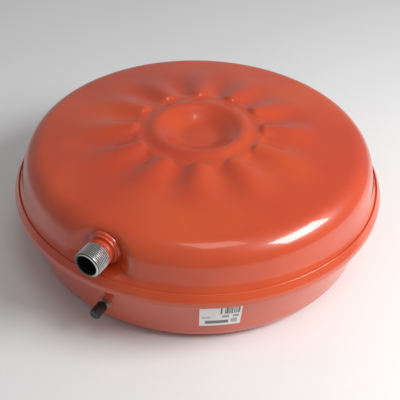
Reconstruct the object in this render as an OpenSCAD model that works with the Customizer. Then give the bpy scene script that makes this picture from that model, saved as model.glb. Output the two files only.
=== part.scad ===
// Flat round expansion vessel for a boiler: two pressed steel shells, a rubber
// diaphragm clamped between them by a rolled ring, a threaded water connection
// and a gas charging valve. The axis of the vessel is Z and it rests on z = 0.
// The water connection points along -Y.

/* [Rim] */
// Outer diameter over the rolled clamping ring
rim_d = 387; // [380:1:396]
// Height of the underside of the clamping ring above the base
rim_z = 61.4; // [58:0.2:64]
// Sheet thickness of the clamping ring
ring_t = 1.2; // [1:0.1:1.4]

/* [Water side shell] */
// Sheet thickness of both shells
shell_t = 1.2; // [1:0.1:1.4]
// Radius of the rounded shoulder
shoulder_r = 26.3; // [22:0.1:28]
// Slope of the crown where it meets the shoulder, in degrees
crown_slope = 7; // [5:0.5:9]
// Depth of the central dish below the crown
dish_depth = 11; // [8:0.5:11.5]
// Height of the rounded ring around the dish
ring_h = 2.2; // [1:0.1:3]
// Number of pressed ribs around the dish
rib_count = 12; // [8:1:16]
// Direction of the first rib, in degrees from +X
rib_turn = -1.2; // [-15:0.1:15]
// Height of the pressed ribs
rib_h = 4; // [2:0.1:4.2]

/* [Water connection] */
// Outer diameter of the 3/4 inch pipe thread
thread_d = 26.44; // [26:0.01:27]
// Bore of the water connection
water_bore_d = 20; // [16:0.5:21]
// Height of the water connection's axis
nipple_z = 94; // [92:0.2:96]
// Distance from the vessel axis to the pressed seat of the connection
nipple_seat = 171; // [169:0.5:172]
// Distance from the vessel axis to the open end of the connection
nipple_end = 199.7; // [196:0.1:203]

/* [Gas valve] */
// Height of the valve's axis
valve_z = 35.4; // [30:0.2:42]
// Direction of the valve around the vessel, in degrees from +X
valve_turn = 271.3; // [200:0.1:300]
// Outer diameter of the valve's thread
stem_d = 7.7; // [7.6:0.05:7.8]
// Distance from the vessel axis to the end of the stem
stem_end = 199.3; // [197:0.1:203]
// Outer diameter of the cap
cap_d = 10.7; // [10.2:0.1:12]

/* [Diaphragm] */
// Thickness of the rubber
rubber_t = 2; // [1.6:0.1:2.2]

/* [Label] */
// Width of the label around the wall, in degrees
label_sweep = 12.2; // [8:0.2:20]
// Height of the label
label_h = 28.5; // [20:0.5:30]

/* [Hidden] */

rim_r = rim_d / 2;
paint = [0.78, 0.25, 0.13];
clearance = 0.12;

// Outlines are lists of [radius, height, fillet radius]
function unit(v) = v / norm(v);
function bend(a, b, c, r, n) =
    let (u = unit(a - b), v = unit(c - b), half = acos(u * v) / 2,
         m = b + unit(u + v) * r / sin(half),
         p = b + u * r / tan(half) - m, q = b + v * r / tan(half) - m,
         from = atan2(p[1], p[0]), raw = atan2(q[1], q[0]) - from,
         sweep = raw > 180 ? raw - 360 : raw < -180 ? raw + 360 : raw)
    [for (i = [0:n]) m + r * [cos(from + sweep * i / n), sin(from + sweep * i / n)]];
function flat2(p) = [p[0], p[1]];
function rounded(p, n = 4) = [
    for (i = [0:len(p) - 1])
        let (r = len(p[i]) > 2 ? p[i][2] : 0)
        each i == 0 || i == len(p) - 1 || r == 0
            ? [flat2(p[i])]
            : bend(flat2(p[i - 1]), flat2(p[i]), flat2(p[i + 1]), r, n)];

// A line moved sideways, to the left of its direction, by the sheet thickness
function left_of(a, b) = let (d = unit(b - a)) [-d[1], d[0]];
function moved(p, t) = [
    for (i = [0:len(p) - 1])
        let (a = left_of(p[max(i - 1, 0)], p[max(i, 1)]),
             b = left_of(p[min(i, len(p) - 2)], p[min(i + 1, len(p) - 1)]))
        p[i] + (a + b) * t / (1 + a * b)];
function reversed(p) = [for (i = [len(p) - 1:-1:0]) p[i]];
module sheet(p, t) { rotate_extrude($fn = 180) polygon(concat(p, reversed(moved(p, t)))); }

// --- Clamping ring: flat lower lip, upright band, and a lip rolled over the flare ---
lip_lean = 31;
lip_end = [rim_r - 4.4, rim_z + 13.9];
band_top = [rim_r, lip_end[1] - (rim_r - lip_end[0]) / tan(lip_lean)];
ring_path = rounded([[rim_r - 5.1, rim_z], [rim_r, rim_z, 1.4],
                     [band_top[0], band_top[1], 5], lip_end]);

// --- Water side shell: outline of its outer face, from the crown edge to the flare ---
wall_lean = 12;
shoulder_m = [rim_r - 38, rim_z + 29];
wall_top = shoulder_m + shoulder_r * [cos(wall_lean), sin(wall_lean)];
wall_dir = [sin(wall_lean), -cos(wall_lean)];
lip_dir = [sin(lip_lean), -cos(lip_lean)];
flare_from = lip_end - (ring_t + clearance) * [cos(lip_lean), sin(lip_lean)];
// Where the line of the wall meets the line of the flare
flare_gap = flare_from - wall_top;
wall_len = (flare_gap[0] * lip_dir[1] - flare_gap[1] * lip_dir[0])
         / (wall_dir[0] * lip_dir[1] - wall_dir[1] * lip_dir[0]);
wall_foot = wall_top + wall_dir * wall_len;
flare_end = flare_from + lip_dir * 7.2;
crown_phi = 90 - crown_slope;
crown_edge = shoulder_m + shoulder_r * [cos(crown_phi), sin(crown_phi)];
crown_k = tan(crown_slope) / (2 * crown_edge[0]);
crown_top = crown_edge[1] + crown_k * pow(crown_edge[0], 2);

function ease(a, b, x) = let (t = max(0, min(1, (x - a) / (b - a)))) t * t * (3 - 2 * t);
dish_r = [16, 44];
ring_mid = 47;
ring_half = 11;
rib_from = 60;
rib_full = 67.5;
rib_sharp = 1.35;
rib_fade = [75, 140];
function rib(r, a) =
    let (c = (1 + cos(rib_count * (a - rib_turn))) / 2, late = 4 * (1 - c))
    rib_h * pow(c, rib_sharp) * ease(rib_from + late, rib_full + late, r) * (1 - ease(rib_fade[0], rib_fade[1], r));
function dish_ring(r) =
    let (x = (r - ring_mid) / ring_half)
    abs(x) < 1 ? ring_h * pow(cos(90 * x), 2) : 0;
function crown_z(r, a) =
    crown_top - crown_k * r * r - dish_depth * (1 - ease(dish_r[0], dish_r[1], r))
    + dish_ring(r) + rib(r, a);

crown_rings = concat([for (r = [10:5:70]) r],
                     [for (k = [1:6]) 70 + (crown_edge[0] - 70) * k / 6]);
shoulder_steps = 8;
side_path = concat(
    [for (k = [1:shoulder_steps])
        let (phi = crown_phi + (wall_lean - crown_phi) * k / shoulder_steps)
        shoulder_m + shoulder_r * [cos(phi), sin(phi)]],
    bend(wall_top, wall_foot, flare_end, 24, 3), [flare_from + lip_dir * 3.6, flare_end]);
crown_count = len(crown_rings);
ring_total = crown_count + len(side_path);

// Pressed seat around the water connection: the outward reach of the shell is
// limited to a flat, nearly round face with sloping sides, a little longer upwards
seat_r = 22.5;
seat_above = 0.85;
seat_flank = 0.85;
seat_blend = 4;
seat_floor = rim_z + 8.4;
function soft_min(a, b, w) = let (h = max(0, min(1, 0.5 + 0.5 * (b - a) / w))) b + (a - b) * h - w * h * (1 - h);
function seat_reach(x, up) = nipple_seat + seat_flank * max(0, norm([x, up > 0 ? seat_above * up : up]) - seat_r);
// How far a point of the shell moves inwards, along +Y
function seat_push(p) =
    p[1] > -140 ? 0 : -p[1] - soft_min(-p[1], seat_reach(p[0], p[2] - nipple_z), seat_blend);
function seated(p, q) =
    let (fixed = flare_from[1] - 1,
         push = p[2] > fixed ? max(0, seat_push(p)) : 0,
         low = p[2] < wall_foot[1] + 3 && p[2] > fixed ? (p[2] - seat_floor) * min(1, push / 18)
             * ease(wall_foot[1] + 3, wall_foot[1] - 3, p[2]) : 0)
    [q[0], q[1] + push, q[2] - low];

// Directions of the mesh around the axis: every 5 degrees, and at the seat at
// fixed distances to each side of the connection
coarse = [for (a = [290:5:610]) a];
seat_side = [4.2, 8.4, 12.5, 15.7, 18.8, 22, 26, 31, 37, 44];
seat_x = concat([for (i = [len(seat_side) - 1:-1:0]) -seat_side[i]], [0], seat_side);
seat_inner = 150;
turn_count = len(coarse) + len(seat_x);
function turn_at(k, r) =
    k < len(coarse) ? coarse[k] : 270 + asin(seat_x[k - len(coarse)] / max(r, seat_inner));

function outer_flat(i, a) =
    i < crown_count ? [crown_rings[i], crown_z(crown_rings[i], a)] : side_path[i - crown_count];
side_in = moved(concat([crown_edge], side_path), -shell_t);
function inner_flat(i, a) =
    i < crown_count ? outer_flat(i, a) - [0, shell_t] : side_in[i - crown_count + 1];
function spun(p, a) = [p[0] * cos(a), p[0] * sin(a), p[1]];
function shell_point(i, k, inner) =
    let (a = turn_at(k, outer_flat(i, 0)[0]), p = spun(outer_flat(i, a), a),
         q = inner ? spun(inner_flat(i, a), a) : p)
    seated(p, q);
function shell_points() = concat(
    [[0, 0, crown_z(0, 0)], [0, 0, crown_z(0, 0) - shell_t]],
    [for (inner = [false, true], i = [0:ring_total - 1], k = [0:turn_count - 1]) shell_point(i, k, inner)]);
function at(side, i, k) = 2 + (side * ring_total + i) * turn_count + k % turn_count;
function shell_faces() = concat(
    [for (k = [0:turn_count - 1]) [0, at(0, 0, k + 1), at(0, 0, k)]],
    [for (k = [0:turn_count - 1]) [1, at(1, 0, k), at(1, 0, k + 1)]],
    [for (i = [0:ring_total - 2], k = [0:turn_count - 1], half = [0, 1])
        half == 0 ? [at(0, i, k), at(0, i, k + 1), at(0, i + 1, k + 1)]
                  : [at(0, i, k), at(0, i + 1, k + 1), at(0, i + 1, k)]],
    [for (i = [0:ring_total - 2], k = [0:turn_count - 1], half = [0, 1])
        half == 0 ? [at(1, i, k), at(1, i + 1, k + 1), at(1, i, k + 1)]
                  : [at(1, i, k), at(1, i + 1, k), at(1, i + 1, k + 1)]],
    [for (k = [0:turn_count - 1], half = [0, 1])
        let (i = ring_total - 1)
        half == 0 ? [at(0, i, k), at(0, i, k + 1), at(1, i, k + 1)]
                  : [at(0, i, k), at(1, i, k + 1), at(1, i, k)]]);

module upper_shell() {
    color(paint) difference() {
        polyhedron(shell_points(), shell_faces(), convexity = 6);
        along_nipple(nipple_seat - 8) cylinder(d = water_bore_d, h = 16, $fn = 48);
    }
}

// --- Gas side shell: flat base with a stiffening bead, leaning wall, clamped flange ---
base_corner = 17;
flange_z = rim_z + ring_t + 0.02;
wall_low = [rim_r - 7.2, rim_z - 2.6];
wall_slope = 0.196;
function wall_r(z) = wall_low[0] + (z - wall_low[1]) * wall_slope;
bead_r = [58, 66, 84, 92];
bead_h = 3.5;
lower_path = rounded([[0, 0], [bead_r[0], 0, 8], [bead_r[1], bead_h, 8], [bead_r[2], bead_h, 8],
                      [bead_r[3], 0, 8], [wall_r(0), 0, base_corner], [wall_low[0], wall_low[1], 6],
                      [rim_r - 6.1, flange_z, 0.8], [rim_r - 1.7, flange_z]]);
module lower_shell() {
    color(paint) difference() {
        sheet(lower_path, shell_t);
        along_valve(stem_base - 3) cylinder(r = boss_r, h = 12, $fn = 48);
    }
}

module seam_ring() { color(paint) sheet(ring_path, ring_t); }

// --- Diaphragm: round bead in the seam, flat web, hat-shaped middle ---
bead_m = [rim_r - 4.5, flange_z + shell_t + 2.2];
bead_radius = 2.1;
hat_r = nipple_seat - 5;
hat_top = crown_top - dish_depth - shell_t - 0.8;
bead_open = asin(rubber_t / 2 / bead_radius);
function bead_at(a) = bead_m + bead_radius * [cos(a), sin(a)];
web_z = bead_m[1] - rubber_t / 2;
diaphragm_path = rounded([bead_at(180 + bead_open), [hat_r + 1, web_z - 0.8, 6], [hat_r - 4, hat_top - 9, 16],
                          [hat_r - 30, hat_top - rubber_t - 4, 20], [25, hat_top - rubber_t, 60], [0, hat_top - rubber_t]], 5);
module diaphragm() {
    bead = [for (k = [0:24]) bead_at((180 - bead_open) * (1 - k / 12))];
    upper = reversed(moved(diaphragm_path, -rubber_t));
    color([0.12, 0.12, 0.13]) rotate_extrude($fn = 180)
        polygon(concat(diaphragm_path, [for (i = [0:len(upper) - 2]) upper[i]], [for (i = [0:23]) bead[i]]));
}

// --- Water connection ---
collar_r = 15.6;
collar_h = 5;
neck_h = 8;
module along_nipple(from) { translate([0, -from, nipple_z]) rotate([90, 0, 0]) children(); }
module water_nipple() {
    color([0.72, 0.73, 0.74]) along_nipple(nipple_seat) rotate_extrude($fn = 96)
        polygon([[water_bore_d / 2, 0], [collar_r, 0], [collar_r, collar_h - 1],
                 [collar_r - 1, collar_h], [thread_d / 2 - 0.9, collar_h],
                 [thread_d / 2 - 0.9, neck_h - 0.9], [thread_d / 2, neck_h],
                 [thread_d / 2, nipple_end - nipple_seat - 1.2],
                 [thread_d / 2 - 1.2, nipple_end - nipple_seat],
                 [water_bore_d / 2, nipple_end - nipple_seat]]);
}
weld_w = 2.2;
weld_h = 3;
module nipple_weld() {
    color(paint) along_nipple(nipple_seat) rotate_extrude($fn = 96)
        polygon(concat([[collar_r, 0]], [for (a = [0:15:90]) [collar_r + weld_w * cos(a), weld_h * sin(a)]]));
}

// --- Gas valve: every length is measured outwards from the end of the stem ---
stem_base = 181.6;
boss_r = 5.5;
core_r = 2.75;
throat_r = 2;
seat_at = 8.8;
module along_valve(from) { rotate([0, 0, valve_turn]) translate([from, 0, valve_z]) rotate([0, 90, 0]) children(); }
// A turned piece: outline of [radius, distance inwards from the end of the stem]
module turned(p) { along_valve(stem_end) rotate_extrude($fn = 64) polygon([for (q = p) [q[0], -q[1]]]); }
stem_len = stem_end - stem_base;
module valve_stem() {
    color([0.62, 0.6, 0.55]) turned([[core_r, 0], [stem_d / 2 - 0.5, 0], [stem_d / 2, 0.5],
        [stem_d / 2, stem_len - 4.4], [boss_r, stem_len - 3.4], [boss_r, stem_len + 2.4],
        [throat_r, stem_len + 2.4], [throat_r, seat_at + 1], [core_r, seat_at]]);
}
module valve_weld() {
    color(paint) difference() {
        turned(concat([[boss_r, stem_len + 1.2], [boss_r + 2, stem_len + 1.2]],
            [for (a = [0:15:90]) [boss_r + 2 * cos(a), stem_len - 0.3 - 2.2 * sin(a)]]));
        rotate_extrude($fn = 180) polygon([[100, base_corner], [wall_r(base_corner), base_corner],
                                           wall_low, [100, wall_low[1]]]);
    }
}
pin_r = 0.45;
pin_hole_r = 0.6;
barrel_r = 1.75;
spring_room_r = 1.3;
barrel_end = 14.5;
module core_nut() {
    color([0.8, 0.65, 0.3]) turned([[1, 0.6], [core_r - 0.1, 0.6], [core_r - 0.1, 5.6], [1, 5.6]]);
}
module core_barrel() {
    color([0.8, 0.65, 0.3]) turned([[pin_hole_r + 0.1, 5.6], [core_r - 0.15, 5.6], [core_r - 0.15, 7.8],
        [barrel_r, 7.8], [barrel_r, barrel_end], [pin_hole_r, barrel_end], [pin_hole_r, 13.4],
        [spring_room_r, 13.4], [spring_room_r, 6.6], [pin_hole_r + 0.1, 6.6]]);
}
module core_seal() {
    color([0.9, 0.9, 0.86]) turned([[barrel_r, 7.8], [core_r - 0.05, 7.8], [core_r - 0.05, seat_at],
        [throat_r + 0.05, seat_at + 0.93], [barrel_r, seat_at + 0.93]]);
}
pin_collar_r = 1.15;
module core_pin() {
    color([0.8, 0.65, 0.3]) turned([[0, 0.7], [pin_r, 0.7], [pin_r, 7.2], [pin_collar_r, 7.2],
        [pin_collar_r, 7.6], [pin_r, 7.6], [pin_r, barrel_end + 2], [0, barrel_end + 2]]);
}
module core_seat() {
    color([0.12, 0.12, 0.13]) turned([[pin_r, barrel_end + 0.02], [1.45, barrel_end + 0.02],
        [1.45, barrel_end + 0.7], [pin_r, barrel_end + 0.7]]);
}
module core_cup() {
    color([0.8, 0.65, 0.3]) turned([[pin_r, barrel_end + 0.7], [barrel_r - 0.05, barrel_end + 0.7],
        [barrel_r - 0.05, barrel_end + 1.8], [pin_r, barrel_end + 1.8]]);
}
// Spring: a square wire swept around the pin
coil_r = 0.85;
wire = 0.16;
coil_from = 7.7;
coil_len = 5.55;
coil_turns = 6;
coil_steps = coil_turns * 16;
coil_points = [for (s = [0:coil_steps], c = [[-1, -1], [1, -1], [1, 1], [-1, 1]])
    let (a = 360 * coil_turns * s / coil_steps, r = coil_r + c[0] * wire)
    [r * cos(a), r * sin(a), -(coil_from + wire + (coil_len - 2 * wire) * s / coil_steps) + c[1] * wire]];
coil_faces = concat([[0, 1, 2, 3]], [[3, 2, 1, 0] + coil_steps * 4 * [1, 1, 1, 1]],
    [for (s = [0:coil_steps - 1], c = [0:3], half = [0, 1])
        let (p = 4 * s + c, q = 4 * s + (c + 1) % 4)
        half == 0 ? [p, p + 4, q + 4] : [p, q + 4, q]]);
module core_spring() {
    color([0.7, 0.7, 0.72]) along_valve(stem_end) polyhedron(coil_points, coil_faces, convexity = 8);
}
cap_len = 13.5;
cap_wall = 1.2;
cap_over = 2.2;
module valve_cap() {
    color([0.06, 0.06, 0.065]) turned([[0, -cap_over], [cap_d / 2 - 0.8, -cap_over],
        [cap_d / 2, -cap_over + 0.8], [cap_d / 2, cap_len - cap_over], [stem_d / 2 + 0.1, cap_len - cap_over],
        [stem_d / 2 + 0.1, cap_wall - cap_over], [0, cap_wall - cap_over]]);
}
module cap_seal() {
    color([0.15, 0.15, 0.16]) turned([[1.6, cap_wall - cap_over + 0.02], [stem_d / 2 - 0.1, cap_wall - cap_over + 0.02],
        [stem_d / 2 - 0.1, -0.05], [1.6, -0.05]]);
}

// --- Label on the leaning wall, just under the clamping ring ---
label_from = 299.8;
label_t = 0.15;
label_top = rim_z - 8.2;
module label() {
    color([0.93, 0.93, 0.92]) rotate([0, 0, label_from]) rotate_extrude(angle = label_sweep, $fn = 180)
        polygon([[wall_r(label_top - label_h) + 0.01, label_top - label_h], [wall_r(label_top) + 0.01, label_top],
                 [wall_r(label_top) + label_t, label_top],
                 [wall_r(label_top - label_h) + label_t, label_top - label_h]]);
}

upper_shell();
lower_shell();
seam_ring();
diaphragm();
water_nipple();
nipple_weld();
valve_stem();
valve_weld();
core_nut();
core_barrel();
core_seal();
core_pin();
core_spring();
core_cup();
core_seat();
valve_cap();
cap_seal();
label();
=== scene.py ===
import math

import bmesh
import bpy
import numpy as np
from mathutils import Matrix, Vector


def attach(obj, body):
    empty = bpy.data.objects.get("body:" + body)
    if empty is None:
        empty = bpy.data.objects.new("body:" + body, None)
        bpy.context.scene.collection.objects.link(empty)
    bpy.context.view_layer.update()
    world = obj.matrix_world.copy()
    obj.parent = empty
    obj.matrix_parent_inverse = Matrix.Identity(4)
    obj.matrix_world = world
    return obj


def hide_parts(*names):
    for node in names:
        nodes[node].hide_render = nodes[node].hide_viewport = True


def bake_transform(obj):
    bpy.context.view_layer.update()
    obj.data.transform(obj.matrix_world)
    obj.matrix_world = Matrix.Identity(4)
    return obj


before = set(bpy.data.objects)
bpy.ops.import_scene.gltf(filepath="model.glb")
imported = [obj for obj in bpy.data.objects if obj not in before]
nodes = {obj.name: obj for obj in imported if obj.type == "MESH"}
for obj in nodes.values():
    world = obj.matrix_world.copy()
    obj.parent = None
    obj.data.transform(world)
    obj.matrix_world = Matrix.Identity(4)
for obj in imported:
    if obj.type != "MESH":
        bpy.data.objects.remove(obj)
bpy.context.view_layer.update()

# All lengths in the shape code are millimetres; mesh_piece() turns them into metres.
MM = 0.001
TAU = 2 * math.pi


# ---------------------------------------------------------------- outlines
def vec(*v):
    return np.array(v, float)


def unit(v):
    return v / np.linalg.norm(v)


def ease(a, b, x):
    t = np.clip((x - a) / (b - a), 0, 1)
    return t * t * (3 - 2 * t)


def bend(a, b, c, r, steps):
    """Points of the arc of radius r that rounds the corner b of the line a, b, c."""
    u, v = unit(a - b), unit(c - b)
    half = math.acos(max(-1, min(1, float(u @ v)))) / 2
    m = b + unit(u + v) * r / math.sin(half)
    p, q = b + u * r / math.tan(half) - m, b + v * r / math.tan(half) - m
    start = math.atan2(p[1], p[0])
    sweep = (math.atan2(q[1], q[0]) - start + math.pi) % TAU - math.pi
    return [m + r * vec(math.cos(start + sweep * k / steps), math.sin(start + sweep * k / steps))
            for k in range(steps + 1)]


def rounded(corners, steps=10):
    """A line through corners of (x, y[, fillet radius]), with its fillets drawn."""
    out = []
    for i, c in enumerate(corners):
        p = vec(*c[:2])
        if len(c) == 2 or i in (0, len(corners) - 1):
            out.append(p)
        else:
            out += bend(vec(*corners[i - 1][:2]), p, vec(*corners[i + 1][:2]), c[2], steps)
    return np.array(out)


def spaced(path, gap):
    """The same line with no step longer than gap."""
    out = [path[0]]
    for a, b in zip(path, path[1:]):
        n = max(1, math.ceil(np.linalg.norm(b - a) / gap))
        out += [a + (b - a) * k / n for k in range(1, n + 1)]
    return np.array(out)


def left_normals(path):
    d = np.diff(path, axis=0)
    d /= np.linalg.norm(d, axis=1)[:, None]
    n = np.stack([-d[:, 1], d[:, 0]], 1)
    a, b = np.vstack([n[:1], n]), np.vstack([n, n[-1:]])
    return (a + b) / (1 + (a * b).sum(1))[:, None]


def moved(path, t):
    return path + left_normals(path) * t


def end_cap(a, b, bulge, steps=6):
    """A rounded edge from a to b that stands out by bulge, on the right of a to b."""
    m, h = (a + b) / 2, (b - a) / 2
    out = unit(vec(h[1], -h[0])) * bulge
    return np.array([m - h * math.cos(math.pi * k / steps) + out * math.sin(math.pi * k / steps)
                     for k in range(1, steps)])


def sheet_outline(path, t, soft=0.35):
    """Closed outline of a sheet on a line, with thickness t to the left and softened ends."""
    path = path.copy()
    path[0] += unit(path[1] - path[0]) * soft
    path[-1] += unit(path[-2] - path[-1]) * soft
    back = moved(path, t)[::-1]
    return np.vstack([path, end_cap(path[-1], back[0], soft), back, end_cap(back[-1], path[0], soft)])


# ---------------------------------------------------------------- meshes
def spin(path, angles, closed=True):
    """Vertices and faces of an outline of (radius, height) turned round Z. Points on the axis become one vertex."""
    n, rings, verts, faces = len(angles), [], [], []
    turn = np.stack([np.cos(angles), np.sin(angles)], 1)
    for r, z in path:
        first = sum(len(v) for v in verts)
        if r < 1e-6:
            verts.append(np.array([[0, 0, z]]))
            rings.append(np.full(n, first))
        else:
            verts.append(np.column_stack([turn * r, np.full(n, z)]))
            rings.append(first + np.arange(n))
    pairs = list(zip(rings, rings[1:])) + ([(rings[-1], rings[0])] if closed else [])
    for a, b in pairs:
        quads = np.stack([a, np.roll(a, -1), np.roll(b, -1), b], 1)
        for q in quads.tolist():
            face = [v for k, v in enumerate(q) if v != q[k - 1]]
            if len(face) > 2:
                faces.append(face)
    return np.vstack(verts), faces


def full_turn(n):
    return np.arange(n) * TAU / n


def placed(points, origin, axis):
    """Points turned round +Z, moved so that their axis runs from origin along axis, which is level."""
    axis = unit(vec(*axis))
    side = vec(-axis[1], axis[0], 0)
    return origin + points[:, :1] * side + points[:, 1:2] * vec(0, 0, 1) + points[:, 2:] * axis


def mesh_piece(name, verts, faces, material, body="vessel", slot=None, stands_for=(), sharp=35):
    mesh = bpy.data.meshes.new(name)
    mesh.from_pydata((np.asarray(verts) * MM).tolist(), [], faces)
    work = bmesh.new()
    work.from_mesh(mesh)
    bmesh.ops.recalc_face_normals(work, faces=work.faces)
    if work.calc_volume(signed=True) < 0:
        bmesh.ops.reverse_faces(work, faces=work.faces)
    work.to_mesh(mesh)
    work.free()
    mesh.shade_smooth()
    mesh.set_sharp_from_angle(angle=math.radians(sharp))
    obj = bpy.data.objects.new(name, mesh)
    bpy.context.scene.collection.objects.link(obj)
    mesh.materials.append(material)
    if body:
        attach(obj, body)
    if stands_for:
        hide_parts(*stands_for)
    return obj


def drilled(obj, radius, origin, axis, length, steps=64):
    """Cuts a round hole through obj, centred on origin."""
    verts, faces = spin(np.array([[0, -length / 2], [radius, -length / 2], [radius, length / 2], [0, length / 2]]),
                        full_turn(steps), closed=False)
    mesh = bpy.data.meshes.new("drill")
    mesh.from_pydata((placed(verts, origin, axis) * MM).tolist(), [], faces)
    work = bmesh.new()
    work.from_mesh(mesh)
    bmesh.ops.recalc_face_normals(work, faces=work.faces)
    work.to_mesh(mesh)
    work.free()
    drill = bpy.data.objects.new("drill", mesh)
    bpy.context.scene.collection.objects.link(drill)
    cut = obj.modifiers.new("hole", "BOOLEAN")
    cut.object, cut.operation, cut.solver = drill, "DIFFERENCE", "EXACT"
    bpy.context.view_layer.update()
    done = bpy.data.meshes.new_from_object(obj.evaluated_get(bpy.context.evaluated_depsgraph_get()))
    obj.modifiers.clear()
    old, obj.data = obj.data, done
    bpy.data.meshes.remove(old)
    bpy.data.objects.remove(drill)
    bpy.data.meshes.remove(mesh)
    return obj


# ---------------------------------------------------------------- materials
class Look:
    """A node material built by name: add() makes a node, link() joins two sockets."""

    def __init__(self, name):
        self.material = bpy.data.materials.new(name)
        self.material.use_nodes = True
        self.tree = self.material.node_tree
        self.shader = self.tree.nodes["Principled BSDF"]
        self.where = self.add("ShaderNodeTexCoord").outputs["Object"]

    def add(self, kind, **settings):
        node = self.tree.nodes.new(kind)
        for key, value in settings.items():
            setattr(node, key, value)
        return node

    def link(self, a, b):
        self.tree.links.new(a, b)

    def set(self, **sockets):
        for key, value in sockets.items():
            self.shader.inputs[key.replace("_", " ")].default_value = value

    def drive(self, socket, value):
        self.link(value, self.shader.inputs[socket])

    def noise(self, scale, detail=2.0, rough=0.5, where=None):
        node = self.add("ShaderNodeTexNoise")
        node.inputs["Scale"].default_value = scale
        node.inputs["Detail"].default_value = detail
        node.inputs["Roughness"].default_value = rough
        self.link(where or self.where, node.inputs["Vector"])
        return node.outputs["Fac"]

    def math(self, operation, a, b=0.0, clamp=False):
        node = self.add("ShaderNodeMath", operation=operation, use_clamp=clamp)
        for socket, value in zip(node.inputs, (a, b)):
            if isinstance(value, (int, float)):
                socket.default_value = value
            else:
                self.link(value, socket)
        return node.outputs[0]

    def span(self, value, low, high, to_low=0.0, to_high=1.0, smooth=False):
        node = self.add("ShaderNodeMapRange", interpolation_type="SMOOTHSTEP" if smooth else "LINEAR")
        for socket, number in zip(list(node.inputs)[1:5], (low, high, to_low, to_high)):
            socket.default_value = number
        self.link(value, node.inputs[0])
        return node.outputs[0]

    def mix(self, amount, a, b):
        node = self.add("ShaderNodeMix", data_type="RGBA")
        for socket, value in ((node.inputs[0], amount), (node.inputs[6], a), (node.inputs[7], b)):
            if isinstance(value, (tuple, list)):
                socket.default_value = (*value, 1.0)
            elif isinstance(value, (int, float)):
                socket.default_value = value
            else:
                self.link(value, socket)
        return node.outputs[2]

    def axes(self, where=None):
        node = self.add("ShaderNodeSeparateXYZ")
        self.link(where or self.where, node.inputs[0])
        return node.outputs

    def from_axis(self):
        """Distance from the water connection's axis."""
        x, _, z = self.axes()
        rise = self.math("SUBTRACT", z, NIPPLE_Z * MM)
        return self.math("SQRT", self.math("ADD", self.math("MULTIPLY", x, x), self.math("MULTIPLY", rise, rise)))

    def painted_thread_shade(self):
        """1 in the roots of the water connection's thread, 0 on its crests: the mask of the painted shade in the
        thread's grooves.
        """
        x, y, z = self.axes()
        turn = self.math("ARCTAN2", self.math("SUBTRACT", z, NIPPLE_Z * MM), x)
        phase = self.math("SUBTRACT", self.math("MULTIPLY", y, -TAU / (PITCH * MM)), turn)
        return self.span(self.math("COSINE", phase), 0.75, -0.35)

    def bump(self, height, distance, strength):
        node = self.add("ShaderNodeBump")
        node.inputs["Strength"].default_value = strength
        node.inputs["Distance"].default_value = distance
        self.link(height, node.inputs["Height"])
        self.drive("Normal", node.outputs["Normal"])
        return node.outputs["Normal"]


RED = (0.60, 0.062, 0.012)
RED_DEEP = (0.52, 0.044, 0.010)
RED_WARM = (0.64, 0.078, 0.014)


def red_paint():
    """Stoved gloss paint: orange red, slightly uneven in tone, with a fine orange peel."""
    look = Look("red_paint")
    tone = look.span(look.noise(9.0, 3.0), 0.35, 0.65)
    fleck = look.span(look.noise(900.0, 1.0), 0.35, 0.75)
    colour = look.mix(tone, RED_DEEP, RED_WARM)
    colour = look.mix(look.math("MULTIPLY", fleck, 0.18), colour, RED)
    look.drive("Base Color", colour)
    look.drive("Roughness", look.span(look.noise(60.0, 3.0), 0.3, 0.7, 0.30, 0.38))
    look.set(IOR=1.5, Coat_Weight=0.75, Coat_Roughness=0.05, Coat_IOR=1.5)
    peel, swell = look.noise(330.0, 1.0), look.noise(26.0, 1.0)
    height = look.math("ADD", look.math("MULTIPLY", peel, 0.10), swell)
    normal = look.bump(height, 0.00025, 0.5)
    look.drive("Coat Normal", normal)
    return look.material


def steel_with_overspray(paint_to):
    """Zinc-plated turned steel. Paint covers it to paint_to metres from the vessel's axis, and its bore is painted
    near black as painted shade inside the tube.
    """
    look = Look("thread_steel")
    distance = look.math("MULTIPLY", look.axes()[1], -1.0)
    streak_map = look.add("ShaderNodeMapping")
    streak_map.inputs["Scale"].default_value = (60.0, 900.0, 60.0)
    look.link(look.where, streak_map.inputs["Vector"])
    streak = look.noise(1.0, 3.0, 0.6, where=streak_map.outputs[0])
    patch = look.noise(140.0, 3.0, 0.6)
    edge = look.math("ADD", distance, look.math("MULTIPLY", look.math("SUBTRACT", patch, 0.5), 0.012))
    edge = look.math("ADD", edge, look.math("MULTIPLY", look.math("SUBTRACT", streak, 0.5), 0.004))
    painted = look.span(edge, paint_to - 0.0007, paint_to + 0.0007, 1.0, 0.0, smooth=True)
    haze = look.span(edge, paint_to, paint_to + 0.007, 0.45, 0.0)
    outside = look.span(look.from_axis(), 0.0106, 0.0109)
    painted = look.math("MULTIPLY", painted, outside)
    haze = look.math("MULTIPLY", haze, outside)
    cover = look.math("MAXIMUM", painted, look.math("MULTIPLY", haze, look.span(patch, 0.35, 0.7)), clamp=True)
    metal = look.mix(look.span(streak, 0.3, 0.7), (0.62, 0.62, 0.62), (0.90, 0.90, 0.88))
    # Painted shade: the metal inside the bore is painted near black, and the thread's roots are painted darker grey.
    metal = look.mix(outside, (0.012, 0.011, 0.010), look.mix(look.painted_thread_shade(), metal, (0.12, 0.12, 0.125)))
    look.drive("Base Color", look.mix(cover, metal, RED))
    look.drive("Metallic", look.math("MULTIPLY", outside, look.math("SUBTRACT", 1.0, cover)))
    look.drive("Roughness", look.span(patch, 0.3, 0.7, 0.36, 0.46))
    look.set(Coat_Roughness=0.06)
    look.drive("Coat Weight", look.math("MULTIPLY", painted, 0.8))
    look.bump(streak, 0.0001, 0.35)
    return look.material


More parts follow.
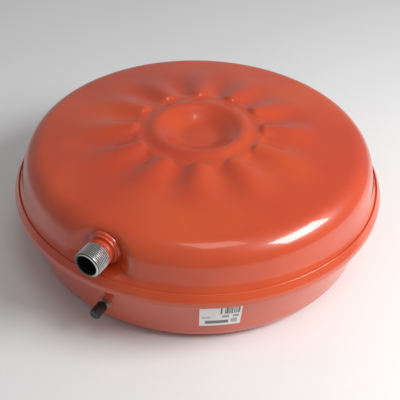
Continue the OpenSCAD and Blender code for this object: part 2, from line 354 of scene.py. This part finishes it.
def turned_metal(name, dark, light, rough, scale=700.0):
    look = Look(name)
    grain = look.noise(scale, 4.0, 0.6)
    stain = look.span(look.noise(scale / 5, 3.0), 0.35, 0.7)
    look.drive("Base Color", look.mix(look.math("MULTIPLY", stain, look.span(grain, 0.2, 0.8)), dark, light))
    look.drive("Roughness", look.span(grain, 0.3, 0.7, rough, rough + 0.15))
    look.set(Metallic=1.0)
    look.bump(grain, 0.00005, 0.3)
    return look.material


def matt(name, dark, light, rough, scale, depth, coat=0.0):
    """Rubber, plastic and wax: a mottled tone with a fine moulded grain."""
    look = Look(name)
    grain = look.noise(scale, 3.0, 0.6)
    worn = look.span(look.noise(scale / 9, 4.0, 0.6), 0.4, 0.75)
    look.drive("Base Color", look.mix(worn, dark, light))
    look.drive("Roughness", look.span(grain, 0.3, 0.7, rough, min(1.0, rough + 0.2)))
    look.set(Coat_Weight=coat, Coat_Roughness=0.3)
    look.bump(grain, depth, 0.5)
    return look.material


def label_print():
    """White self-adhesive paper with generic bars and blocks, placed by the label's own 0 to 1 coordinates."""
    look = Look("label_print")
    place = look.add("ShaderNodeUVMap", uv_map="label")
    along, up, _ = look.axes(place.outputs[0])

    def inside(value, low, high, soft=0.004):
        a = look.span(value, low - soft, low + soft)
        b = look.span(value, high - soft, high + soft, 1.0, 0.0)
        return look.math("MULTIPLY", a, b)

    def bars(count, share, seed):
        step = look.math("FLOOR", look.math("MULTIPLY", along, count))
        white = look.add("ShaderNodeTexWhiteNoise", noise_dimensions="1D")
        look.link(look.math("ADD", step, seed), white.inputs["W"])
        return look.math("GREATER_THAN", white.outputs["Value"], share)

    ink = look.math("MULTIPLY", bars(96.0, 0.45, 3.5),
                    look.math("MULTIPLY", inside(along, 0.48, 0.95), inside(up, 0.66, 1.1)))
    ink = look.math("MULTIPLY", ink, 0.85)
    rows = [(0.54, 0.94, 0.44, 0.58, 34.0, 0.3, 0.6, 11.5), (0.05, 0.26, 0.44, 0.53, 44.0, 0.3, 0.5, 23.5),
            (0.07, 0.40, 0.80, 0.83, 70.0, 0.4, 0.16, 37.5), (0.07, 0.35, 0.70, 0.73, 70.0, 0.4, 0.16, 41.5)]
    for a0, a1, u0, u1, count, share, depth, seed in rows:
        row = look.math("MULTIPLY", bars(count, share, seed),
                        look.math("MULTIPLY", inside(along, a0, a1), inside(up, u0, u1, 0.01)))
        ink = look.math("MAXIMUM", ink, look.math("MULTIPLY", row, depth))
    block = look.math("MULTIPLY", inside(along, 0.14, 0.70), inside(up, 0.12, 0.30, 0.01))
    ink = look.math("MAXIMUM", ink, look.math("MULTIPLY", block, 0.82))
    square = look.math("MULTIPLY", inside(along, 0.76, 0.91), inside(up, 0.14, 0.36, 0.01))
    ink = look.math("MAXIMUM", ink, look.math("MULTIPLY", square, 0.55))
    paper = look.mix(look.span(look.noise(120.0, 3.0), 0.3, 0.7), (0.80, 0.81, 0.80), (0.88, 0.88, 0.87))
    look.drive("Base Color", look.mix(ink, paper, (0.035, 0.035, 0.04)))
    look.drive("Roughness", look.span(look.noise(500.0, 2.0), 0.3, 0.7, 0.42, 0.55))
    look.bump(look.noise(800.0, 2.0), 0.00002, 0.3)
    return look.material


PAINT = red_paint()
BRASS = turned_metal("core_brass", (0.42, 0.27, 0.09), (0.80, 0.62, 0.30), 0.25)
SPRING = turned_metal("spring_wire", (0.35, 0.35, 0.36), (0.75, 0.75, 0.77), 0.25)
STEM = turned_metal("valve_metal", (0.20, 0.19, 0.17), (0.52, 0.50, 0.46), 0.32, 500.0)
RUBBER = matt("rubber", (0.014, 0.014, 0.016), (0.035, 0.034, 0.034), 0.6, 900.0, 0.00008)
WAX = matt("white_seal", (0.72, 0.71, 0.66), (0.86, 0.85, 0.80), 0.45, 1200.0, 0.00003)
CAP = matt("cap_plastic", (0.010, 0.010, 0.011), (0.022, 0.022, 0.024), 0.36, 1500.0, 0.00003, coat=0.15)

# ---------------------------------------------------------------- shells and ring
RIM_R, RIM_Z, SHEET = 193.5, 61.4, 1.2
LEAN = math.radians(31)
lip_end = vec(RIM_R - 4.4, RIM_Z + 13.9)
lip_out = vec(math.cos(LEAN), math.sin(LEAN))
lip_down = vec(math.sin(LEAN), -math.cos(LEAN))
band_top = vec(RIM_R, lip_end[1] - (RIM_R - lip_end[0]) / math.tan(LEAN))
flare_from = lip_end - (SHEET + 0.12) * lip_out
flare_end = flare_from + lip_down * 7.2

ring_path = spaced(rounded([(RIM_R - 5.1, RIM_Z), (RIM_R, RIM_Z, 1.4), (*band_top, 5), tuple(lip_end)], 14), 1.5)
mesh_piece("seam_ring_rolled", *spin(sheet_outline(ring_path, SHEET, 0.6), full_turn(540)), PAINT,
           slot="red_paint", stands_for=["seam_ring"])

WALL_LEAN, SHOULDER_R = math.radians(12), 26.3
shoulder_m = vec(RIM_R - 38, RIM_Z + 29)
wall_top = shoulder_m + SHOULDER_R * vec(math.cos(WALL_LEAN), math.sin(WALL_LEAN))
wall_down = vec(math.sin(WALL_LEAN), -math.cos(WALL_LEAN))
gap = flare_from - wall_top
wall_foot = wall_top + wall_down * ((gap[0] * lip_down[1] - gap[1] * lip_down[0])
                                    / (wall_down[0] * lip_down[1] - wall_down[1] * lip_down[0]))
CROWN_SLOPE = math.radians(7)
crown_phi = math.pi / 2 - CROWN_SLOPE
crown_edge = shoulder_m + SHOULDER_R * vec(math.cos(crown_phi), math.sin(crown_phi))
crown_k = math.tan(CROWN_SLOPE) / (2 * crown_edge[0])
crown_top = crown_edge[1] + crown_k * crown_edge[0] ** 2
DISH_DEPTH, DISH_FLAT, DISH_EDGE = 11, 16, 44
RING_H, RING_MID, RING_HALF = 2.2, 47, 11
RIBS, RIB_TURN, RIB_H, VALLEY, RIB_SHARP = 12, math.radians(-1.2), 4, 1.6, 1.35
RIB_FROM, RIB_FULL, RIB_FADE, RIB_END = 60, 67.5, 75, 140


def crown_z(r):
    """Height of the crown with its dish and the ring round it."""
    off = r - RING_MID
    ring = np.where(abs(off) < RING_HALF, RING_H * np.cos(math.pi / 2 * off / RING_HALF) ** 2, 0)
    return crown_top - crown_k * r * r - DISH_DEPTH * (1 - ease(DISH_FLAT, DISH_EDGE, r)) + ring


def rib(r, a):
    """Height of the ribs and, below zero, of the valleys between them."""
    c = (1 + np.cos(RIBS * (a - RIB_TURN))) / 2
    late = 4 * (1 - c)
    shape = RIB_H * c ** RIB_SHARP - VALLEY * (1 - c) ** 2
    return shape * ease(RIB_FROM + late, RIB_FULL + late, r) * (1 - ease(RIB_FADE, RIB_END, r))


SEAT, SEAT_R, SEAT_ABOVE, SEAT_FLANK, SEAT_BLEND = 171, 18, 0.85, 0.7, 8
NIPPLE_Z, SEAT_INNER = 94, 140


def soft_min(a, b, w):
    h = np.clip(0.5 + 0.5 * (b - a) / w, 0, 1)
    return b + (a - b) * h - w * h * (1 - h)


def seated(outer, points):
    """Presses the flat seat of the water connection into points, by where their partners on the outer face lie."""
    x, y, z = outer.T
    rise = z - NIPPLE_Z
    from_middle = np.hypot(x, np.where(rise > 0, SEAT_ABOVE * rise, rise))
    reach = SEAT + SEAT_FLANK * np.maximum(0, from_middle - SEAT_R)
    push = np.where(y > -SEAT_INNER, 0, np.maximum(0, -y - soft_min(-y, reach, SEAT_BLEND)))
    push = push * ease(flare_from[1] - 0.2, flare_from[1] + 9, z)
    return points + np.stack([0 * x, push, 0 * z], 1)


def upper_shell():
    radii = np.r_[0, np.arange(4, 20, 3), np.arange(20, 150, 1.4), np.linspace(150, crown_edge[0], 8)]
    crown = np.stack([radii, crown_z(radii)], 1)
    arc = [shoulder_m + SHOULDER_R * vec(math.cos(t), math.sin(t))
           for t in np.linspace(crown_phi, WALL_LEAN, 36)[1:]]
    corner = bend(wall_top, wall_foot, flare_end, 24, 10)
    side = spaced(np.array([crown_edge, *arc, *corner, flare_from - lip_down * 0.2]), 1.2)
    side = np.vstack([side, spaced(np.array([side[-1], flare_from + lip_down * 1.6]), 0.15)[1:]])
    side = np.vstack([side, spaced(np.array([side[-1], flare_end]), 1.5)[1:]])
    inner_side = moved(side, -SHEET)
    outer = np.vstack([crown, side[1:]])
    inner = np.vstack([crown - vec(0, SHEET), inner_side[1:]])
    coarse = np.radians(np.arange(290, 610, 1.0))
    fine = np.radians(np.arange(250, 290, 0.4))
    angles = np.concatenate([fine, coarse])
    verts_out, _ = spin(outer, angles, closed=False)
    verts_in, _ = spin(inner, angles, closed=False)
    _, faces = spin(np.vstack([outer, inner[::-1]]), angles, closed=False)
    r, a = np.hypot(*verts_out[:, :2].T), np.arctan2(verts_out[:, 1], verts_out[:, 0])
    lift = np.where(r < RIB_END + 1, rib(r, a), 0)
    verts_out[:, 2] += lift
    verts_in[:, 2] += lift
    shaped_out, shaped_in = seated(verts_out, verts_out), seated(verts_out, verts_in)
    # the inner face is met from the edge back to the axis, ring by ring
    n = len(angles)
    rings_in = [shaped_in[:1]] + [shaped_in[1 + k * n:1 + (k + 1) * n] for k in range(len(inner) - 1)]
    return np.vstack([shaped_out, *rings_in[::-1]]), faces


shell = mesh_piece("upper_shell_pressed", *upper_shell(), PAINT, slot="red_paint",
                   stands_for=["upper_shell"], sharp=50)
BORE_R, WATER_AXIS = 10.0, (0, -1, 0)
drilled(shell, BORE_R, vec(0, -SEAT, NIPPLE_Z), WATER_AXIS, 12)

FLANGE_Z = RIM_Z + SHEET + 0.02
WALL_LOW, WALL_SLOPE = vec(RIM_R - 7.2, RIM_Z - 2.6), 0.196


def wall_r(z):
    return WALL_LOW[0] + (z - WALL_LOW[1]) * WALL_SLOPE


lower_path = rounded([(0, 0), (58, 0, 8), (66, 3.5, 8), (84, 3.5, 8), (92, 0, 8), (wall_r(0), 0, 17),
                      (*WALL_LOW, 6), (RIM_R - 6.1, FLANGE_Z, 0.8), (RIM_R - 1.7, FLANGE_Z)], 14)
lower_path = spaced(lower_path, 4.0)
lower_in = moved(lower_path, SHEET)
lower_in[0, 0] = 0
lower = mesh_piece("lower_shell_pressed",
                   *spin(np.vstack([lower_path, lower_in[::-1]]), full_turn(540), closed=False),
                   PAINT, slot="red_paint", stands_for=["lower_shell"])

# ---------------------------------------------------------------- water connection
THREAD_R, PITCH, COLLAR_R, NIPPLE_END = 13.22, 1.814, 15.6, 199.7
WATER_FROM = vec(0, 0, NIPPLE_Z)


def threaded(outline, crest, depth, pitch, start, end, runout, origin, axis, steps, grain):
    """A turned piece with a right-handed thread cut into its outline of (radius, distance along the axis)."""
    path = spaced(outline, grain)
    angles = full_turn(steps)
    verts, faces = spin(path, angles)
    r, a, u = np.hypot(*verts[:, :2].T), np.arctan2(verts[:, 1], verts[:, 0]), verts[:, 2]
    wave = 0.5 - 0.5 * np.cos(TAU * (u / pitch - a / TAU))
    cut = depth * wave ** 0.8 * ease(start, start + runout, u) * ease(end, end - runout * 0.6, u)
    cut = np.where(abs(r - crest) < 0.05, cut, 0)
    verts[:, :2] *= ((r - cut) / r)[:, None]
    return placed(verts, origin, axis), faces


nipple_outline = np.array([
    *rounded([(BORE_R, SEAT), (COLLAR_R, SEAT), (COLLAR_R, SEAT + 5, 0.9), (THREAD_R - 0.9, SEAT + 5, 0.5),
              (THREAD_R - 0.9, SEAT + 7.1), (THREAD_R, SEAT + 8), (THREAD_R, NIPPLE_END - 1.2),
              (THREAD_R - 1.2, NIPPLE_END, 0.4), (BORE_R + 0.5, NIPPLE_END, 0.2), (BORE_R, NIPPLE_END - 0.6)], 6),
    (BORE_R, SEAT)])
mesh_piece("water_nipple_threaded",
           *threaded(nipple_outline, THREAD_R, 1.1, PITCH, SEAT + 7.6, NIPPLE_END - 1.0, 1.8,
                     WATER_FROM, WATER_AXIS, 180, 0.14),
           steel_with_overspray(0.1825), slot="thread_steel", stands_for=["water_nipple"])


def weld(name, stands_for, inner, width, height, base, origin, axis, waves, sink=0.0):
    """A run of weld round a pipe: a fillet whose edge and face wander a little."""
    arc = [(inner + width * math.cos(t), base + height * math.sin(t)) for t in np.linspace(0, math.pi / 2, 9)]
    path = np.array([(inner, base - sink), (inner + width, base - sink), *arc])
    verts, faces = spin(path, full_turn(160))
    a = np.arctan2(verts[:, 1], verts[:, 0])
    r = np.hypot(*verts[:, :2].T)
    share = np.clip((r - inner) / width, 0, 1)
    wander = sum(np.sin(k * a + p) / n for k, p, n in waves)
    verts[:, :2] *= ((r + 0.22 * wander * share) / r)[:, None]
    verts[:, 2] += 0.12 * wander * (verts[:, 2] > base + 0.1)
    return mesh_piece(name, placed(verts, origin, axis), faces, PAINT, slot="red_paint", stands_for=[stands_for])


weld("nipple_weld_run", "nipple_weld", COLLAR_R, 2.0, 2.8, SEAT, WATER_FROM, WATER_AXIS,
     [(5, 0.4, 2), (13, 1.1, 3), (31, 2.0, 4)])

# ---------------------------------------------------------------- gas valve
VALVE_Z, STEM_END, STEM_R, BOSS_R = 35.4, 199.3, 3.85, 5.5
valve_turn = math.radians(271.3)
VALVE_AXIS = (math.cos(valve_turn), math.sin(valve_turn), 0)
VALVE_FROM, STEM_BASE = vec(0, 0, VALVE_Z), 181.6
drilled(lower, BOSS_R, VALVE_FROM + (STEM_BASE + 1) * vec(*VALVE_AXIS), VALVE_AXIS, 14)

stem_outline = np.array([
    *rounded([(2.75, STEM_END - 8.8), (2.75, STEM_END - 0.3), (3.0, STEM_END), (STEM_R - 0.5, STEM_END, 0.15),
              (STEM_R, STEM_END - 0.5), (STEM_R, STEM_BASE + 4.4), (BOSS_R, STEM_BASE + 3.4, 0.4),
              (BOSS_R, STEM_BASE - 2.4), (2.0, STEM_BASE - 2.4), (2.0, STEM_END - 9.8)], 5),
    (2.75, STEM_END - 8.8)])
mesh_piece("valve_stem_threaded",
           *threaded(stem_outline, STEM_R, 0.42, 0.794, STEM_BASE + 4.6, STEM_END - 0.3, 0.8,
                     VALVE_FROM, VALVE_AXIS, 72, 0.08),
           STEM, slot="valve_metal", stands_for=["valve_stem"])
weld("valve_weld_run", "valve_weld", BOSS_R, 1.9, 2.1, STEM_BASE + 0.3, VALVE_FROM, VALVE_AXIS,
     [(3, 0.9, 2), (7, 0.2, 3), (17, 1.4, 4)], sink=1.2)


def ribbed_cap():
    """A screw cap with shallow grip ribs round its side, a rounded end and a hollow for the stem."""
    end, mouth, r = STEM_END + 2.2, STEM_END + 2.2 - 13.5, 5.35
    outline = np.array([
        (0, end - 0.35), (2.6, end - 0.35),
        *rounded([(2.9, end - 0.35), (3.2, end, 0.2), (r, end, 1.1), (r, end - 2.5)], 6)[1:],
        (r, mouth + 1.6), (r, mouth + 0.2), (r - 0.2, mouth), (3.95, mouth), (3.95, end - 1.2), (0, end - 1.2)])
    path = spaced(outline, 0.35)
    verts, faces = spin(path, full_turn(144), closed=False)
    radius = np.hypot(*verts[:, :2].T)
    a = np.arctan2(verts[:, 1], verts[:, 0])
    groove = 0.30 * (0.5 - 0.5 * np.cos(18 * a)) ** 2
    groove = groove * ease(mouth + 1.2, mouth + 1.9, verts[:, 2]) * ease(end - 1.0, end - 2.2, verts[:, 2])
    scale = np.where(radius > r - 0.05, (radius - groove) / np.maximum(radius, 1), 1)
    verts[:, :2] *= scale[:, None]
    return placed(verts, VALVE_FROM, VALVE_AXIS), faces


mesh_piece("valve_cap_ribbed", *ribbed_cap(), CAP, body="cap", slot="cap_plastic", stands_for=["valve_cap"])


# ---------------------------------------------------------------- diaphragm
def diaphragm():
    bead, bead_r, rubber = vec(RIM_R - 4.5, FLANGE_Z + SHEET + 2.2), 2.1, 2.0
    split = math.asin(rubber / 2 / bead_r)
    hat_r, hat_top = SEAT - 5, crown_top - DISH_DEPTH - SHEET - 0.8
    start = bead + bead_r * vec(math.cos(math.pi + split), math.sin(math.pi + split))
    web = bead[1] - rubber / 2
    path = rounded([tuple(start), (hat_r + 1, web - 0.8, 6), (hat_r - 4, hat_top - 9, 16),
                    (hat_r - 30, hat_top - rubber - 4, 20), (25, hat_top - rubber, 60), (0, hat_top - rubber)], 16)
    path = spaced(path, 2.5)
    upper = moved(path, -rubber)[::-1]
    upper[0, 0] = 0
    turn = [(math.pi - split) * (1 - k / 16) for k in range(32)]
    arc = np.array([bead + bead_r * vec(math.cos(t), math.sin(t)) for t in turn])
    outline = np.vstack([path[::-1], arc[::-1], upper[:-1][::-1]])
    return spin(outline, full_turn(240), closed=False)


skin = mesh_piece("diaphragm_moulded", *diaphragm(), RUBBER, body=None, slot="rubber", stands_for=["diaphragm"])
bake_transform(skin)

# ---------------------------------------------------------------- label
LABEL_FROM, LABEL_SWEEP, LABEL_TOP, LABEL_H = 299.8, 12.2, RIM_Z - 8.2, 28.5


def label():
    """A thin sheet on the leaning wall, its outer face laid out in 0 to 1 along and up."""
    across, rows = 40, 12
    verts, faces, spots = [], [], []
    for lift in (0.15, 0.02):
        for j in range(rows + 1):
            z = LABEL_TOP - LABEL_H + LABEL_H * j / rows
            for i in range(across + 1):
                a = math.radians(LABEL_FROM + LABEL_SWEEP * i / across)
                r = wall_r(z) + lift
                verts.append((r * math.cos(a), r * math.sin(a), z))
                spots.append((i / across, j / rows))
    row, layer = across + 1, (across + 1) * (rows + 1)
    for j in range(rows):
        for i in range(across):
            k = j * row + i
            faces.append([k, k + 1, k + row + 1, k + row])
            faces.append([layer + k, layer + k + row, layer + k + row + 1, layer + k + 1])
    edge = (list(range(across)) + [across + j * row for j in range(rows)]
            + [rows * row + i for i in range(across, 0, -1)] + [j * row for j in range(rows, 0, -1)])
    for a, b in zip(edge, edge[1:] + edge[:1]):
        faces.append([a, a + layer, b + layer, b])
    return verts, faces, spots


label_verts, label_faces, label_spots = label()
sticker = mesh_piece("label_sheet", label_verts, label_faces, label_print(), slot="label_paper",
                     stands_for=["label"])
layout = sticker.data.uv_layers.new(name="label")
for loop in sticker.data.loops:
    layout.data[loop.index].uv = label_spots[loop.vertex_index]

# ---------------------------------------------------------------- valve core, kept from the frame but for its spring
def coil_spring(outer_end, length, coil, wire, turns):
    """A round wire wound on the valve's axis, from outer_end inwards."""
    verts, ring, steps = [], 8, turns * 32
    for s in range(steps + 1):
        a, u = TAU * turns * s / steps, outer_end - wire - (length - 2 * wire) * s / steps
        for t in full_turn(ring):
            r = coil + wire * math.cos(t)
            verts.append((r * math.cos(a), r * math.sin(a), u + wire * math.sin(t)))
    faces = [[s * ring + k, s * ring + (k + 1) % ring, (s + 1) * ring + (k + 1) % ring, (s + 1) * ring + k]
             for s in range(steps) for k in range(ring)]
    faces += [list(range(ring))[::-1], [steps * ring + k for k in range(ring)]]
    return placed(np.array(verts), VALVE_FROM, VALVE_AXIS), faces


SPRING_TOP, SPRING_LEN = STEM_END - 7.7, 5.55
spring = mesh_piece("core_spring_coiled", *coil_spring(SPRING_TOP, SPRING_LEN, 0.85, 0.16, 6), SPRING, body=None,
                    slot="spring_wire", stands_for=["core_spring"])
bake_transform(spring)

for node, material in (("core_nut", BRASS), ("core_barrel", BRASS), ("core_pin", BRASS), ("core_cup", BRASS),
                       ("core_seal", WAX), ("core_seat", RUBBER), ("cap_seal", RUBBER)):
    mesh = nodes[node].data
    mesh.materials.clear()
    mesh.materials.append(material)

# ---------------------------------------------------------------- floor, light and camera
FLOOR_R, FLOOR_DROP, ROOM_LIGHT = 1.15, 0.0005, 0.3


def floor_look():
    look = Look("pale_floor")
    shade = look.span(look.noise(2.0, 2.0), 0.3, 0.7)
    look.drive("Base Color", look.mix(shade, (0.80, 0.80, 0.80), (0.84, 0.84, 0.84)))
    look.set(Roughness=0.6)
    return look.material


floor_mesh = bpy.data.meshes.new("floor")
floor_mesh.from_pydata([(FLOOR_R * math.cos(t), FLOOR_R * math.sin(t), -FLOOR_DROP) for t in full_turn(64)], [],
                       [list(range(64))])
floor = bpy.data.objects.new("floor", floor_mesh)
floor_mesh.materials.append(floor_look())
bpy.context.scene.collection.objects.link(floor)


def panel(name, azimuth, elevation, distance, width, height, watts):
    """A softbox that faces the vessel. Azimuths are those of the model, from +X."""
    light = bpy.data.lights.new(name, "AREA")
    light.shape, light.size, light.size_y = "RECTANGLE", width, height
    light.energy = watts
    obj = bpy.data.objects.new(name, light)
    a, e = math.radians(azimuth), math.radians(elevation)
    obj.location = Vector((math.cos(a) * math.cos(e), math.sin(a) * math.cos(e), math.sin(e))) * distance
    middle = Vector((0, 0, 0.06))
    obj.location += middle
    obj.rotation_euler = (middle - obj.location).to_track_quat("-Z", "Y").to_euler()
    bpy.context.scene.collection.objects.link(obj)


panel("key_window", 9, 40, 1.2, 0.62, 0.42, 13.4)
panel("overhead", 330, 78, 2.6, 0.9, 0.9, 6.5)

# The room's light: even and neutral from every side
world = bpy.data.worlds.new("room")
world.use_nodes = True
world.node_tree.nodes["Background"].inputs["Color"].default_value = (ROOM_LIGHT, ROOM_LIGHT, ROOM_LIGHT, 1)
bpy.context.scene.world = world
bpy.context.scene.view_settings.view_transform = "Standard"

# The camera stands 0.7949 m from the point 60 mm up the vessel's axis, 37 degrees above it, turned a little off it
VIEW_TURN, VIEW_ELEVATION, VIEW_DISTANCE = math.radians(28.6), math.radians(36.97), 794.9
AIM_SIDE, AIM_DOWN, ROLL = math.radians(0.188), math.radians(-1.70), math.radians(1.257)
back = vec(math.sin(VIEW_TURN) * math.cos(VIEW_ELEVATION), -math.cos(VIEW_TURN) * math.cos(VIEW_ELEVATION),
           math.sin(VIEW_ELEVATION))
stand = vec(0, 0, 60) + VIEW_DISTANCE * back
right = vec(math.cos(VIEW_TURN), math.sin(VIEW_TURN), 0)
ahead = -back
up = np.cross(right, ahead)
ahead, right = (ahead * math.cos(AIM_SIDE) + right * math.sin(AIM_SIDE),
                right * math.cos(AIM_SIDE) - ahead * math.sin(AIM_SIDE))
ahead, up = (ahead * math.cos(AIM_DOWN) + up * math.sin(AIM_DOWN),
             up * math.cos(AIM_DOWN) - ahead * math.sin(AIM_DOWN))
right, up = right * math.cos(ROLL) + up * math.sin(ROLL), up * math.cos(ROLL) - right * math.sin(ROLL)
lens = bpy.data.cameras.new("camera")
lens.lens, lens.sensor_width, lens.clip_start, lens.clip_end = 65.835, 36.0, 0.05, 50.0
camera = bpy.data.objects.new("camera", lens)
camera.matrix_world = Matrix([(right[k], up[k], -ahead[k], stand[k] * MM) for k in range(3)] + [(0, 0, 0, 1)])
bpy.context.scene.collection.objects.link(camera)
bpy.context.scene.camera = camera
